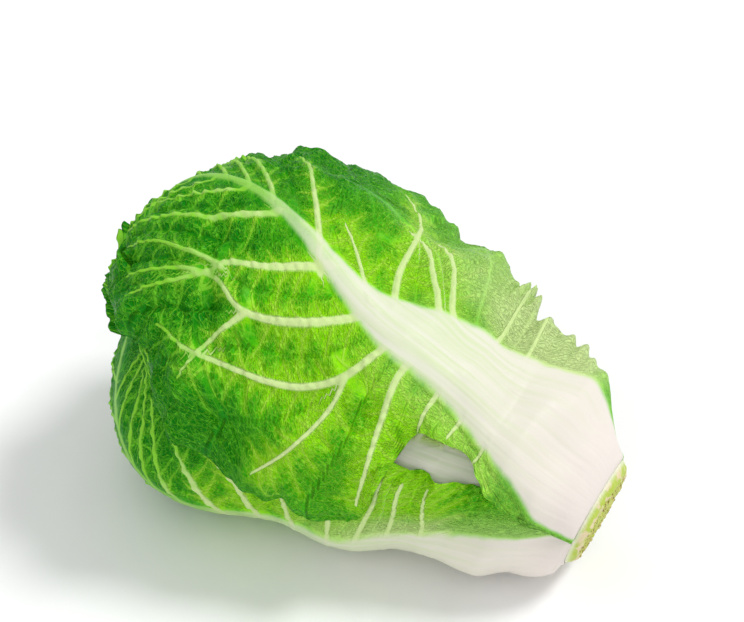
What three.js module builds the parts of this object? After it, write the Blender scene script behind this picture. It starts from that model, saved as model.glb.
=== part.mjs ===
// A napa cabbage as cut for sale: a barrel-shaped head of separate leaves on a short stump, lying on its
// side. Millimetres. +Z is up, the stump points to +X and the leafy end to -X, and the head rests on the
// plane z = 0.
//
// Every leaf is placed on the head by three numbers: how far along the leaf a point lies from the cut base
// (run), its angle round the head's spine (turn, in degrees, 0 facing -Y and 90 facing up), and its distance
// from the spine (depth). The leaves are piled on one another from the heart outwards, so no two can cross.
import * as THREE from "three";

const RAD = Math.PI / 180;
const { lerp, smoothstep } = THREE.MathUtils;

// The head
const STRAIGHT = 136; // run along which the leaves follow the spine
const BEND = 180; // run along which their tips then turn in over the end
const BEND_RADIUS = 95; // radius of that turned-in end
const TILT = 13.5 * RAD; // the leafy end is thicker, so the spine of the lying head rises towards it
const WIDEN = 1.03; // the head spreads sideways as it lies
const SAG = 0.96; // and settles downwards
const FLOOR_DROP = 42; // how far below the foot of the spine the floor lies
const PRESS_SOFT = 1; // how gently the leaves under the head give way to the floor
const PRESS_FLAT = 0.35; // how deep the lowest rib is pressed quite flat
const STUMP_X = 144; // where the foot of the spine stands along X and Y
const STUMP_Y = 7;

// The stump, and the heart at its tip
const STUMP_PROUD = 2.5; // how far the cut face stands out of the leaf bases
const STUMP_NECK = 3; // run at which the leaf bases begin to close round it
const STUMP_END = 58; // where it ends inside the head
const STUMP_CLEARANCE = 0.6;
const CUT_RADIUS = 24;
const SCAR_RADIUS = 32; // over the scars of the leaves that were trimmed away
const HEART_FOOT = STUMP_END + 0.6; // where the heart begins, clear of the stump
const HEART_TOP = 359.5; // run at which the heart closes on the spine
const HEART_RINGS = 22;
const HEART_CLEARANCE = 2.6;
const HEART_FOLDS = 5; // leaf edges met on the way round the heart
const HEART_FOLD = 2.4; // and how deep they step

// What the leaves are made of
const BLADE = 1.2; // thickness of the green blade
const SEAT = 0.35; // clearance between a leaf's base and the stump
const LEAF_COUNT = 12;
const DIVERGENCE = -137.5; // each leaf stands this far round from the one outside it
const FIRST_TURN = 22; // where the midrib of the first inner leaf stands
const FIRST_INNER = 3; // from this leaf inwards the divergence rules; the outer three are set by eye
const COVER_MARGIN = 10; // degrees by which a leaf's room reaches past its margin
const COVER_FADE = 40; // and over which it then closes
const RIB_CLEARANCE = 1.25; // the leaves outside a rib bend over it a little wider than it is
const CLOSE_ROWS = 4; // rows of a leaf's mesh that stand close together at its base
const CLOSE_ROW = 9; // and how far apart they are
const SWING_FROM = 120; // run from which a midrib may swing to one side
const SWING_TO = 290;
const BASE_STEP = 4.2; // each leaf leaves the stump this much further along than the one outside it

// Dents and swells of the whole head: run and turn of the middle, height, and how wide they are in each
const SWELLS = [[285, -8, -21, 90, 44], [246, -50, 22, 100, 58], [285, 62, 9, 90, 55], [30, 118, 6, 60, 62]];

// A smooth curve through [at, value] pairs.
function curve(pairs) {
  return (at) => {
    const last = pairs.length - 1;
    if (at <= pairs[0][0]) return pairs[0][1];
    if (at >= pairs[last][0]) return pairs[last][1];
    const i = pairs.findIndex(([x]) => x > at) - 1;
    const slope = (a, b) => (pairs[b][1] - pairs[a][1]) / (pairs[b][0] - pairs[a][0]);
    const [x0, y0] = pairs[i];
    const [x1, y1] = pairs[i + 1];
    const m0 = i === 0 ? slope(0, 1) : slope(i - 1, i + 1);
    const m1 = i + 1 === last ? slope(i, i + 1) : slope(i, i + 2);
    const h = x1 - x0;
    const t = (at - x0) / h;
    const s = t * t * (3 - 2 * t);
    return lerp(y0, y1, s) + h * t * (1 - t) * ((1 - t) * m0 - t * m1);
  };
}

// Lengths by run, in millimetres
const coreRadius = curve([
  [0, 30], [12, 30], [30, 28], [50, 24], [64, 23], [90, 26],
  [130, 30], [180, 34], [230, 38], [280, 45], [335, 51],
]);
const layerGap = curve([
  [0, 1.3], [30, 1.7], [60, 2.4], [100, 3], [150, 3.4], [200, 4.4], [250, 4.2], [330, 3.2],
]);
const ribHalf = curve([
  [0, 37], [40, 31], [75, 26], [115, 18], [155, 13], [195, 6.5], [235, 3.4], [300, 1.6], [330, 1],
]);
const ribDepth = curve([[0, 7], [14, 10], [40, 11.5], [90, 10], [150, 6.5], [200, 4], [250, 2.6], [330, 1]]);

// Angles by run, in degrees: half the width of a rib, and how far round the head every leaf's room reaches
const ribAngle = curve([[0, 54], [40, 42], [75, 30], [115, 17], [155, 10.5], [330, 6]]);
const fullCover = curve([[0, 0], [80, 100], [140, 180], [330, 180]]);

// Outlines: how far the blade reaches from the midrib, by run
const reachNotched = curve([
  [0, 36], [30, 36], [48, 36], [62, 31], [76, 30], [90, 33], [101, 42], [108, 66], [116, 98], [132, 110],
  [162, 120], [186, 113], [203, 99], [224, 116], [250, 126], [300, 90],
]);
const reachFlared = curve([
  [0, 37], [20, 42], [40, 54], [60, 64], [88, 78], [110, 88], [150, 106], [190, 118], [235, 110], [300, 60],
]);
const reachBroad = curve([
  [0, 38], [30, 50], [60, 68], [100, 86], [140, 105], [190, 124], [230, 126], [265, 112], [300, 72],
]);
// How a row of the leaf leans towards the tip as it leaves the midrib, and how it then falls back
const rowLean = curve([[0, 0], [80, 0], [112, -0.13], [135, -0.08], [200, 0.5], [260, 0.75], [300, 0.55]]);
const rowFall = curve([[0, 0], [150, 0.05], [220, 0.2], [260, 0.4], [300, 0.62]]);

// The leaves, from the outermost in.
//   turn, swing      where the midrib stands at the base, and how far its tip swings to one side
//   start, end       run of its base and its tip
//   low, high        the outline of each side, and the share of it that the side reaches
//   ribShare         thickness of the rib as a share of ribDepth
//   ribRound         2 for a rib that swells softly, 1 for one with steep sides
//   room             extra space under the leaf
//   wave, waves      height and number of the ruffles of its margin, calm the share of them on the low side
//   flare            how far the high side stands off near the base
//   rows, ribColumns, wingColumns      the mesh: rows, and columns on each half of the rib and the blade
const OUTERMOST = 0;
const UNDER = 1; // the leaf that the head lies on
const BACK = 2;
const OUTER_GREEN = new THREE.Color("#8fc93a");
const HEART_GREEN = new THREE.Color("#e6eda0");
const LEAVES = Array.from({ length: LEAF_COUNT }, (_, k) => ({
  name: `inner_leaf_${k - FIRST_INNER + 1}`,
  turn: FIRST_TURN + DIVERGENCE * (k - FIRST_INNER),
  swing: 8 * Math.sin(2.4 * k),
  start: 4 + BASE_STEP * k,
  end: 300 + 2.6 * k,
  low: [reachBroad, 1 - 0.035 * k],
  high: [reachBroad, 1 - 0.035 * k],
  ribShare: 1 - 0.06 * k,
  ribRound: 2,
  room: 0,
  wave: 0.6,
  waves: 4,
  calm: 1,
  flare: 0,
  rows: 16,
  ribColumns: 2,
  wingColumns: k < 7 ? 5 : 4,
  colour: new THREE.Color().lerpColors(OUTER_GREEN, HEART_GREEN, k / LEAF_COUNT),
}));
Object.assign(LEAVES[OUTERMOST], {
  name: "outer_leaf_upper", turn: 68, swing: 24, low: [reachNotched, 1], high: [reachFlared, 1],
  ribRound: 1, room: 3, wave: 6, waves: 9, flare: 7,
  rows: 32, ribColumns: 3, wingColumns: 5, colour: new THREE.Color("#5fb11f"),
});
Object.assign(LEAVES[UNDER], {
  name: "outer_leaf_under", turn: -42, swing: 12, high: [reachBroad, 1.04],
  ribRound: 1, room: 2, wave: 3.2, waves: 8, calm: 0.15,
  rows: 26, ribColumns: 3, wingColumns: 4, colour: new THREE.Color("#4a9d22"),
});
Object.assign(LEAVES[BACK], {
  name: "outer_leaf_back", turn: 172, room: 1, wave: 2.4, waves: 8,
  rows: 26, ribColumns: 3, wingColumns: 4, colour: new THREE.Color("#57a825"),
});

// Where the spine has got to at a run, and how far the leaves lean in over its end.
function spine(run) {
  const u = Math.max(0, (run - STRAIGHT) / BEND);
  const along = (1 - (1 - u) ** 3) / 3;
  return {
    along: Math.min(run, STRAIGHT) + BEND * along,
    lean: (BEND / BEND_RADIUS) * (u - along),
  };
}

// The signed angle from one turn to another, in degrees.
function between(from, to) {
  return ((((to - from) % 360) + 540) % 360) - 180;
}

// The broad, shallow unevenness that all leaves of the head share, and the dents and swells of its leafy
// end.
function unevenness(run, turn) {
  const grown = smoothstep(run, 90, 200);
  const shallow = 2 * Math.sin(3 * turn * RAD + run / 38) + 0.7 * Math.sin(5 * turn * RAD - run / 27);
  const swollen = SWELLS.reduce((sum, [atRun, atTurn, height, wideRun, wideTurn]) => {
    const off = Math.hypot((run - atRun) / wideRun, between(atTurn, turn) / wideTurn);
    return sum + height * (1 - smoothstep(off, 0, 1));
  }, 0);
  return grown * shallow + swollen;
}

// The share of its depth that the head keeps at a run and turn where the floor presses up against it.
function pressed(run, turn) {
  const { along, lean } = spine(run);
  const sideways = SAG * Math.cos(lean) * Math.sin(turn * RAD);
  const rise = Math.sin(lean) * Math.sin(TILT) + sideways * Math.cos(TILT);
  const lowest = innerFace(UNDER, run, turn) + BLADE + ribAt(LEAVES[UNDER], run, turn);
  const whole = lowest + unevenness(run, turn);
  const room = -(FLOOR_DROP + along * Math.sin(TILT)) / rise;
  if (rise >= 0 || room > 2 * whole) return 1;
  return (room - PRESS_SOFT * Math.log1p(Math.exp((room - whole) / PRESS_SOFT))) / whole;
}

// The place of a point of the head as it lies, above the floor and off the foot of the spine.
function lying(run, turn, depth) {
  const { along, lean } = spine(run);
  const out = (depth + unevenness(run, turn)) * pressed(run, turn);
  const axial = along + out * Math.sin(lean);
  const radius = out * Math.cos(lean);
  const up = SAG * radius * Math.sin(turn * RAD);
  return new THREE.Vector3(
    STUMP_X - axial * Math.cos(TILT) + up * Math.sin(TILT),
    STUMP_Y - WIDEN * radius * Math.cos(turn * RAD),
    Math.max(0, FLOOR_DROP - PRESS_FLAT + axial * Math.sin(TILT) + up * Math.cos(TILT)),
  );
}

// Where the midrib of a leaf stands at a run.
function midrib(leaf, run) {
  return leaf.turn + leaf.swing * smoothstep(run, SWING_FROM, SWING_TO);
}

// How much the rib of a leaf adds to its thickness at a run and turn.
function ribAt(leaf, run, turn, spread = 1) {
  const off = Math.abs(between(midrib(leaf, run), turn)) / (ribAngle(run) * spread);
  if (off >= 1) return 0;
  const tucked = smoothstep(run, leaf.start - 5, leaf.start + 13);
  return tucked * leaf.ribShare * ribDepth(run) * Math.cos((off * Math.PI) / 2) ** leaf.ribRound;
}

// The share of its full room that leaf k takes at a run and turn: none well past its margin.
function coverAt(k, run, turn) {
  const ahead = between(midrib(LEAVES[k], run), turn);
  const edge = Math.max(reachTurn(k, run, Math.sign(ahead)) + COVER_MARGIN, fullCover(run));
  return 1 - smoothstep(Math.abs(ahead), edge, edge + COVER_FADE);
}
// The space under a leaf.
function roomUnder(leaf, run) {
  return layerGap(run) + leaf.room * smoothstep(run, 40, 120);
}
// How much leaf k adds to the pile, none before it leaves the stump.
function layerAt(k, run, turn) {
  const leaf = LEAVES[k];
  const begun = smoothstep(run, leaf.start - 24, leaf.start);
  const sheet = begun * (BLADE + roomUnder(leaf, run)) * coverAt(k, run, turn);
  return sheet + ribAt(leaf, run, turn, RIB_CLEARANCE);
}

// Depth of leaf k's inner face: everything inside it, and the gap below it.
function innerFace(k, run, turn) {
  let depth = coreRadius(run) + SEAT;
  for (let i = LEAF_COUNT - 1; i > k; i--) depth += layerAt(i, run, turn);
  const leaf = LEAVES[k];
  const lifted = smoothstep(run, leaf.start, leaf.start + 12);
  return depth + roomUnder(leaf, run) * lifted * coverAt(k, run, turn);
}

// A nominal radius for leaf k, to turn reach across the leaf into an angle.
function wrapRadius(k, run) {
  const layers = (LEAF_COUNT - k) * (BLADE + layerGap(run)) * smoothstep(run, 0, 110);
  const radius = coreRadius(run) + layers + 10 * (1 - smoothstep(run, 60, 160));
  return radius * Math.max(Math.cos(spine(run).lean), 0.62);
}

// How far a side of the leaf reaches from its midrib, in millimetres and as a turn round the head.
function reachOf(k, run, side) {
  const leaf = LEAVES[k];
  const [outline, share] = side < 0 ? leaf.low : leaf.high;
  return Math.max(outline(run) * share, ribHalf(run) * leaf.ribShare + 2);
}
function reachTurn(k, run, side) {
  return reachOf(k, run, side) / (wrapRadius(k, run) * RAD);
}

// The point (across, along) of leaf k: across runs from -1, its low margin, to 1, its high one, and along
// from 0 at the base to 1 at the tip.
function leafPoint(k, across, along) {
  const leaf = LEAVES[k];
  const side = Math.sign(across);
  const from = lerp(leaf.start, leaf.end, along);
  const t = Math.abs(across);
  const run = from + (rowLean(from) * t - rowFall(from) * t * t) * reachOf(k, from, side);
  return { run, turn: midrib(leaf, from) + side * t * reachTurn(k, from, side) };
}

function columnsOf(k) {
  return 2 * (LEAVES[k].ribColumns + LEAVES[k].wingColumns);
}

// Rows of the mesh: the first few are close together, where the leaves bend out from the stump.
function rowAt(k, j) {
  const leaf = LEAVES[k];
  const close = (CLOSE_ROW * CLOSE_ROWS) / (leaf.end - leaf.start);
  if (j <= CLOSE_ROWS) return (close * j) / CLOSE_ROWS;
  return lerp(close, 1, (j - CLOSE_ROWS) / (leaf.rows - CLOSE_ROWS));
}

// Columns of the mesh: the first few follow the rib, the rest spread over the blade.
function columnAt(k, i, along) {
  const leaf = LEAVES[k];
  const half = leaf.ribColumns + leaf.wingColumns;
  const side = Math.sign(i - half);
  const n = Math.abs(i - half);
  const from = lerp(leaf.start, leaf.end, along);
  const edge = (ribHalf(from) * leaf.ribShare) / reachOf(k, from, side);
  if (n <= leaf.ribColumns) return (side * edge * n) / leaf.ribColumns;
  return side * lerp(edge, 1, (n - leaf.ribColumns) / leaf.wingColumns);
}

// How far the ruffled margin of leaf k is lifted: the outermost leaf only ever stands off.
function margin(k, across, along) {
  const leaf = LEAVES[k];
  const near = smoothstep(Math.abs(across), 0.35, 1) * smoothstep(along, 0.08, 0.3);
  const beat = Math.sin(2 * Math.PI * (leaf.waves * along + 0.25 * Math.sign(across)) + k);
  const wave = leaf.wave * (across < 0 ? leaf.calm : 1);
  const low = smoothstep(along, 0.02, 0.12) * (1 - smoothstep(along, 0.4, 0.6));
  const flare = Math.max(0, across) ** 2 * leaf.flare * low;
  return flare + near * wave * (k === OUTERMOST ? 0.5 + 0.5 * beat : beat);
}

// A closed mesh from two sheets of the same grid, outer and inner, joined round their rim.
function sheets(rows, columns, pointOf) {
  const positions = [];
  for (const face of [0, 1])
    for (let j = 0; j <= rows; j++)
      for (let i = 0; i <= columns; i++) positions.push(...pointOf(i, j, face).toArray());
  const wide = columns + 1;
  const sheet = wide * (rows + 1);
  const index = [];
  const quad = (a, b, c, d) => index.push(a, b, c, a, c, d);
  for (let j = 0; j < rows; j++)
    for (let i = 0; i < columns; i++) {
      const a = j * wide + i;
      quad(a, a + 1, a + wide + 1, a + wide);
      index.push(a + sheet, a + sheet + wide + 1, a + sheet + 1);
      index.push(a + sheet, a + sheet + wide, a + sheet + wide + 1);
    }
  const rim = [];
  for (let i = 0; i < columns; i++) rim.push(i);
  for (let j = 0; j < rows; j++) rim.push(j * wide + columns);
  for (let i = columns; i > 0; i--) rim.push(rows * wide + i);
  for (let j = rows; j > 0; j--) rim.push(j * wide);
  rim.forEach((a, n) => {
    const b = rim[(n + 1) % rim.length];
    quad(b, a, a + sheet, b + sheet);
  });
  return solid(positions, index);
}

// The geometry, with its faces turned outwards.
function solid(positions, index) {
  let volume = 0;
  const at = (n) => new THREE.Vector3().fromArray(positions, 3 * n);
  for (let i = 0; i < index.length; i += 3)
    volume += at(index[i]).dot(at(index[i + 1]).cross(at(index[i + 2])));
  const facing = volume < 0 ? index.map((_, i) => index[i - (i % 3) + [0, 2, 1][i % 3]]) : index;
  const geometry = new THREE.BufferGeometry();
  geometry.setAttribute("position", new THREE.Float32BufferAttribute(positions, 3));
  geometry.setIndex(facing);
  geometry.computeVertexNormals();
  return geometry;
}

// The place of vertex (i, j) on the outer (0) or inner (1) face of leaf k.
function leafPlace(k, i, j, face) {
  const leaf = LEAVES[k];
  const along = rowAt(k, j);
  const across = columnAt(k, i, along);
  const { run, turn } = leafPoint(k, across, along);
  const inner = innerFace(k, run, turn) + margin(k, across, along);
  const thick = BLADE + ribAt(leaf, run, turn);
  return lying(run, turn, face === 0 ? inner + thick : inner);
}

// A closed solid turned about the spine from [run, depth] points, with a pole at each end.
function turned(profile, segments, depthAt = (run, turn, depth) => depth) {
  const rings = profile.slice(1, -1);
  const positions = [];
  const add = (run, turn, depth) => positions.push(...lying(run, turn, depth).toArray());
  for (const [run, depth] of rings)
    for (let i = 0; i < segments; i++) {
      const turn = (360 * i) / segments;
      add(run, turn, depthAt(run, turn, depth));
    }
  const poles = [profile[0], profile.at(-1)].map(([run, depth]) => {
    add(run, 0, depth);
    return positions.length / 3 - 1;
  });
  const index = [];
  for (let i = 0; i < segments; i++) {
    const next = (i + 1) % segments;
    index.push(poles[0], next, i);
    for (let j = 0; j < rings.length - 1; j++) {
      const [a, b] = [j * segments + i, j * segments + next];
      index.push(a, b, b + segments, a, b + segments, a + segments);
    }
    const top = (rings.length - 1) * segments;
    index.push(poles[1], top + i, top + next);
  }
  return solid(positions, index);
}

function stumpGeometry() {
  const inside = Array.from({ length: 5 }, (_, i) => {
    const run = lerp(STUMP_NECK, STUMP_END, i / 4);
    return [run, coreRadius(run) - STUMP_CLEARANCE];
  });
  const profile = [
    [-STUMP_PROUD, 0],
    [-STUMP_PROUD, CUT_RADIUS],
    [-0.6 * STUMP_PROUD, CUT_RADIUS + 4],
    [0, SCAR_RADIUS],
    [0.35 * STUMP_NECK, SCAR_RADIUS],
    ...inside,
    [STUMP_END, 0],
  ];
  return turned(profile, 28);
}

// The tightly folded heart: a bud whose surface is raised in the edges of the leaves that wrap it.
function heartGeometry() {
  const rings = Array.from({ length: HEART_RINGS }, (_, i) => {
    const run = lerp(HEART_FOOT, HEART_TOP, i / HEART_RINGS);
    return [run, coreRadius(run) - HEART_CLEARANCE];
  });
  const folded = (run, turn, depth) => {
    const round = (HEART_FOLDS * turn) / 360 + run / 90;
    return depth - HEART_FOLD * smoothstep(run, 70, 160) * (round - Math.floor(round));
  };
  const top = [HEART_TOP, coreRadius(HEART_TOP) - HEART_CLEARANCE];
  return turned([[HEART_FOOT, 0], ...rings, top], 30, folded);
}

const head = new THREE.Group();
function addPart(name, geometry, colour, roughness) {
  const surface = new THREE.MeshStandardMaterial({ color: colour, roughness, metalness: 0 });
  const mesh = new THREE.Mesh(geometry, surface);
  mesh.name = name;
  head.add(mesh);
}
addPart("stump", stumpGeometry(), "#dfe3b0", 0.6);
addPart("heart", heartGeometry(), "#e9eeae", 0.5);
LEAVES.forEach((leaf, k) => {
  const leafMesh = sheets(leaf.rows, columnsOf(k), (i, j, face) => leafPlace(k, i, j, face));
  addPart(leaf.name, leafMesh, leaf.colour, 0.45);
});

export default head;
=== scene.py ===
"""Napa cabbage lying on its side: a cut stump, ribbed and veined leaves round each other, and a heart.

All lengths inside the shape classes are in millimetres, and meshes are written in metres.
A place on a leaf is (run, turn): the length along the head from the stump, and the angle round it.
"""

import logging
import math
from dataclasses import dataclass, field
from enum import Enum
from functools import partial
from typing import Callable

import bpy
import numpy as np
from mathutils import Matrix, Vector, noise

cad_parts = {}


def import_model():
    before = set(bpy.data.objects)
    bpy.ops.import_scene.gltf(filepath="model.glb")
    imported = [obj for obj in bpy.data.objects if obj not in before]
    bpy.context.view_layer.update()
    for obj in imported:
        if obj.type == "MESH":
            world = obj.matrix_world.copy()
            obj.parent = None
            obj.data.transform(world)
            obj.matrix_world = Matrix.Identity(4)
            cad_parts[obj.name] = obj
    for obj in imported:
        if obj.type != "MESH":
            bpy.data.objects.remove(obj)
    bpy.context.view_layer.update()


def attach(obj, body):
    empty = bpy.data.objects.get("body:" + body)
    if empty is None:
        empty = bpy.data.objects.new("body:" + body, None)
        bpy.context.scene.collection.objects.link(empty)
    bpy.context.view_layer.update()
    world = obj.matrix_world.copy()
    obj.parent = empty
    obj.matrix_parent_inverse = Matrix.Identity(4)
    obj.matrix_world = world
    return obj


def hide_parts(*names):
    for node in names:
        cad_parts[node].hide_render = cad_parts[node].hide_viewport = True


LOG = logging.getLogger("napa_cabbage")
RAD = math.pi / 180
MM = 0.001
MIX = "ShaderNodeMix"
REMAP = "ShaderNodeMapRange"
MATHS = "ShaderNodeMath"
CLOUDS = "ShaderNodeTexNoise"
RGBA = {"data_type": "RGBA"}

Grid = np.ndarray
Colour = tuple[float, float, float, float]


def linear(hex_colour: str) -> Colour:
    """Turn an sRGB hex colour into linear light.

    Args:
        hex_colour: six hex digits, with or without a leading hash.

    Returns:
        Red, green, blue and alpha in linear light.
    """
    digits = hex_colour.lstrip("#")
    parts = [int(digits[i : i + 2], 16) / 255 for i in (0, 2, 4)]
    red, green, blue = (c / 12.92 if c <= 0.04045 else ((c + 0.055) / 1.055) ** 2.4 for c in parts)
    return (red, green, blue, 1.0)


def smooth(value: Grid, low: float, high: float) -> Grid:
    """Rise smoothly from 0 at low to 1 at high."""
    t = np.clip((value - low) / (high - low), 0, 1)
    return t * t * (3 - 2 * t)


def between(start: Grid, stop: Grid) -> Grid:
    """Give the shortest angle in degrees from start to stop."""
    return (stop - start + 180) % 360 - 180


def ripple(x: Grid, y: Grid, size: float, seed: float) -> Grid:
    """Sample smooth noise at points in millimetres.

    Args:
        x: first coordinate of each point.
        y: second coordinate of each point.
        size: width of one bump.
        seed: picks the pattern.

    Returns:
        Values from about -1 to 1, in the shape of x.
    """
    points = zip((x / size).ravel().tolist(), (y / size).ravel().tolist())
    return np.fromiter((noise.noise((a, b, seed)) for a, b in points), float, x.size).reshape(x.shape) * 1.6


def cell_edges(x: Grid, y: Grid, seed: float) -> Grid:
    """Measure how near each point is to the border between two random cells of about unit size.

    Args:
        x: first coordinate of each point, in cells.
        y: second coordinate of each point, in cells.
        seed: picks the pattern.

    Returns:
        0 on a border, rising to about 1 in the middle of a cell.
    """
    points = zip(x.ravel().tolist(), y.ravel().tolist())
    nearest = (noise.voronoi((a, b, seed))[0] for a, b in points)
    return np.fromiter((d[1] - d[0] for d in nearest), float, x.size).reshape(x.shape)


@dataclass(frozen=True)
class Profile:
    """A smooth curve through pairs of (place, value)."""

    pairs: tuple[tuple[float, float], ...]

    def __call__(self, place: Grid) -> Grid:
        """Read the curve.

        Args:
            place: where to read it.

        Returns:
            The value there, held flat past both ends.
        """
        x = np.array([p[0] for p in self.pairs], float)
        y = np.array([p[1] for p in self.pairs], float)
        slope = np.empty(len(x))
        slope[1:-1] = (y[2:] - y[:-2]) / (x[2:] - x[:-2])
        slope[0] = (y[1] - y[0]) / (x[1] - x[0])
        slope[-1] = (y[-1] - y[-2]) / (x[-1] - x[-2])
        at = np.clip(np.asarray(place, float), x[0], x[-1])
        i = np.clip(np.searchsorted(x, at, side="right") - 1, 0, len(x) - 2)
        h = x[i + 1] - x[i]
        t = (at - x[i]) / h
        s = t * t * (3 - 2 * t)
        return y[i] + (y[i + 1] - y[i]) * s + h * t * (1 - t) * ((1 - t) * slope[i] - t * slope[i + 1])


class Side(Enum):
    """The two halves of a leaf, named by the way they wrap round the head."""

    LOW = -1
    HIGH = 1


@dataclass(frozen=True)
class Swell:
    """A broad bulge in the head that every leaf follows."""

    run: float
    turn: float
    height: float
    wide_run: float
    wide_turn: float


@dataclass(frozen=True)
class LeafForm:
    """Where one leaf stands on the head and how large it is."""

    name: str
    turn: float
    swing: float
    start: float
    end: float
    low: Profile
    low_share: float
    high: Profile
    high_share: float
    rib_share: float
    rib_round: float
    room: float
    wave: float
    waves: float
    calm: float
    flare: float


@dataclass
class HeadShape:
    """The bent axis of the head and the stack of leaves round it, as the solids have them."""

    straight: float = 136
    bend: float = 180
    bend_radius: float = 95
    tilt: float = 13.5 * RAD
    widen: float = 1.03
    sag: float = 0.96
    floor_drop: float = 42
    press_soft: float = 1
    press_flat: float = 0.35
    stump_x: float = 144
    stump_y: float = 7
    blade: float = 1.2
    seat: float = 0.35
    leaf_count: int = 12
    divergence: float = -137.5
    first_turn: float = 22
    cover_margin: float = 10
    cover_fade: float = 40
    rib_clearance: float = 1.25
    core: Profile = Profile(
        ((0, 30), (12, 30), (30, 28), (50, 24), (64, 23), (90, 26), (130, 30), (180, 34), (230, 38), (280, 45), (335, 51))
    )
    gap: Profile = Profile(
        ((0, 1.3), (30, 1.7), (60, 2.4), (100, 3), (150, 3.4), (200, 4.4), (250, 4.2), (330, 3.2))
    )
    rib_half: Profile = Profile(
        ((0, 37), (40, 31), (75, 26), (115, 18), (155, 13), (195, 6.5), (235, 3.4), (300, 1.6), (330, 1))
    )
    rib_depth: Profile = Profile(
        ((0, 7), (14, 10), (40, 11.5), (90, 10), (150, 6.5), (200, 4), (250, 2.6), (330, 1))
    )
    rib_angle: Profile = Profile(((0, 54), (40, 42), (75, 30), (115, 17), (155, 10.5), (330, 6)))
    full_cover: Profile = Profile(((0, 0), (80, 100), (140, 180), (330, 180)))
    notched: Profile = Profile(
        (
            (0, 36), (30, 36), (48, 36), (62, 31), (76, 30), (90, 33), (101, 42), (108, 66),
            (116, 98), (132, 110), (162, 120), (186, 113), (203, 99), (224, 116), (250, 126), (300, 90),
        )
    )
    flared: Profile = Profile(
        ((0, 37), (20, 42), (40, 54), (60, 64), (88, 78), (110, 88), (150, 106), (190, 118), (235, 110), (300, 60))
    )
    broad: Profile = Profile(
        ((0, 38), (30, 50), (60, 68), (100, 86), (140, 105), (190, 124), (230, 126), (265, 112), (300, 72))
    )
    row_lean: Profile = Profile(((0, 0), (80, 0), (112, -0.13), (135, -0.08), (200, 0.5), (260, 0.75), (300, 0.55)))
    row_fall: Profile = Profile(((0, 0), (150, 0.05), (220, 0.2), (260, 0.4), (300, 0.62)))
    swells: tuple[Swell, ...] = (
        Swell(285, -8, -21, 90, 44),
        Swell(246, -50, 22, 100, 58),
        Swell(285, 62, 9, 90, 55),
        Swell(30, 118, 6, 60, 62),
    )
    leaves: list[LeafForm] = field(default_factory=list)

    def __post_init__(self) -> None:
        """Place every leaf by the spiral rule, then give the three outer ones their own shape."""
        for k in range(self.leaf_count):
            self.leaves.append(self._spiral_leaf(k))
        own = (
            {"name": "outer_leaf_upper", "turn": 68, "swing": 24, "low": self.notched, "low_share": 1,
             "high": self.flared, "high_share": 1, "rib_round": 1, "room": 3, "wave": 6, "waves": 9, "flare": 7},
            {"name": "outer_leaf_under", "turn": -42, "swing": 12, "high_share": 1.04, "rib_round": 1, "room": 2,
             "wave": 3.2, "waves": 8, "calm": 0.15},
            {"name": "outer_leaf_back", "turn": 172, "room": 1, "wave": 2.4, "waves": 8},
        )
        for k, changes in enumerate(own):
            self.leaves[k] = LeafForm(**{**self.leaves[k].__dict__, **changes})

    def _spiral_leaf(self, k: int) -> LeafForm:
        """Give leaf number k, counted from outside, its place by the spiral rule."""
        return LeafForm(
            name=f"inner_leaf_{k - 2}",
            turn=self.first_turn + self.divergence * (k - 3),
            swing=8 * math.sin(2.4 * k),
            start=4 + 4.2 * k,
            end=300 + 2.6 * k,
            low=self.broad,
            low_share=1 - 0.035 * k,
            high=self.broad,
            high_share=1 - 0.035 * k,
            rib_share=1 - 0.06 * k,
            rib_round=2,
            room=0,
            wave=0.6,
            waves=4,
            calm=1,
            flare=0,
        )

    def spine(self, run: Grid) -> tuple[Grid, Grid]:
        """Follow the axis of the head.

        Args:
            run: length along a leaf from the stump.

        Returns:
            Length along the straight axis, and how far the leaf has turned across it, in radians.
        """
        u = np.maximum(0, (run - self.straight) / self.bend)
        along = (1 - (1 - u) ** 3) / 3
        return np.minimum(run, self.straight) + self.bend * along, self.bend / self.bend_radius * (u - along)

    def unevenness(self, run: Grid, turn: Grid) -> Grid:
        """Give the shared bumps of the head at a place."""
        soft = 2 * np.sin(3 * turn * RAD + run / 38) + 0.7 * np.sin(5 * turn * RAD - run / 27)
        total = smooth(run, 90, 200) * soft
        for swell in self.swells:
            away = np.hypot((run - swell.run) / swell.wide_run, between(swell.turn, turn) / swell.wide_turn)
            total = total + swell.height * (1 - smooth(away, 0, 1))
        return total

    def midrib(self, leaf: LeafForm, run: Grid) -> Grid:
        """Give the angle of a leaf's midrib at a length along it."""
        return leaf.turn + leaf.swing * smooth(run, 120, 290)

    def rib_at(self, leaf: LeafForm, run: Grid, turn: Grid, spread: float = 1.0) -> Grid:
        """Give how far a leaf's midrib stands out of its blade.

        Args:
            leaf: the leaf.
            run: length along it.
            turn: angle round the head.
            spread: widens the rib, for the room that other leaves leave round it.

        Returns:
            Height of the rib over the blade.
        """
        off = np.abs(between(self.midrib(leaf, run), turn)) / (self.rib_angle(run) * spread)
        tucked = smooth(run, leaf.start - 5, leaf.start + 13)
        shape = np.cos(np.minimum(off, 1) * math.pi / 2) ** leaf.rib_round
        return tucked * leaf.rib_share * self.rib_depth(run) * np.where(off < 1, shape, 0)

    def wrap_radius(self, k: int, run: Grid) -> Grid:
        """Give the radius of the circle that leaf number k wraps round at a length along it."""
        _, lean = self.spine(run)
        stack = (self.leaf_count - k) * (self.blade + self.gap(run)) * smooth(run, 0, 110)
        return (self.core(run) + stack + 10 * (1 - smooth(run, 60, 160))) * np.maximum(np.cos(lean), 0.62)

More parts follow.
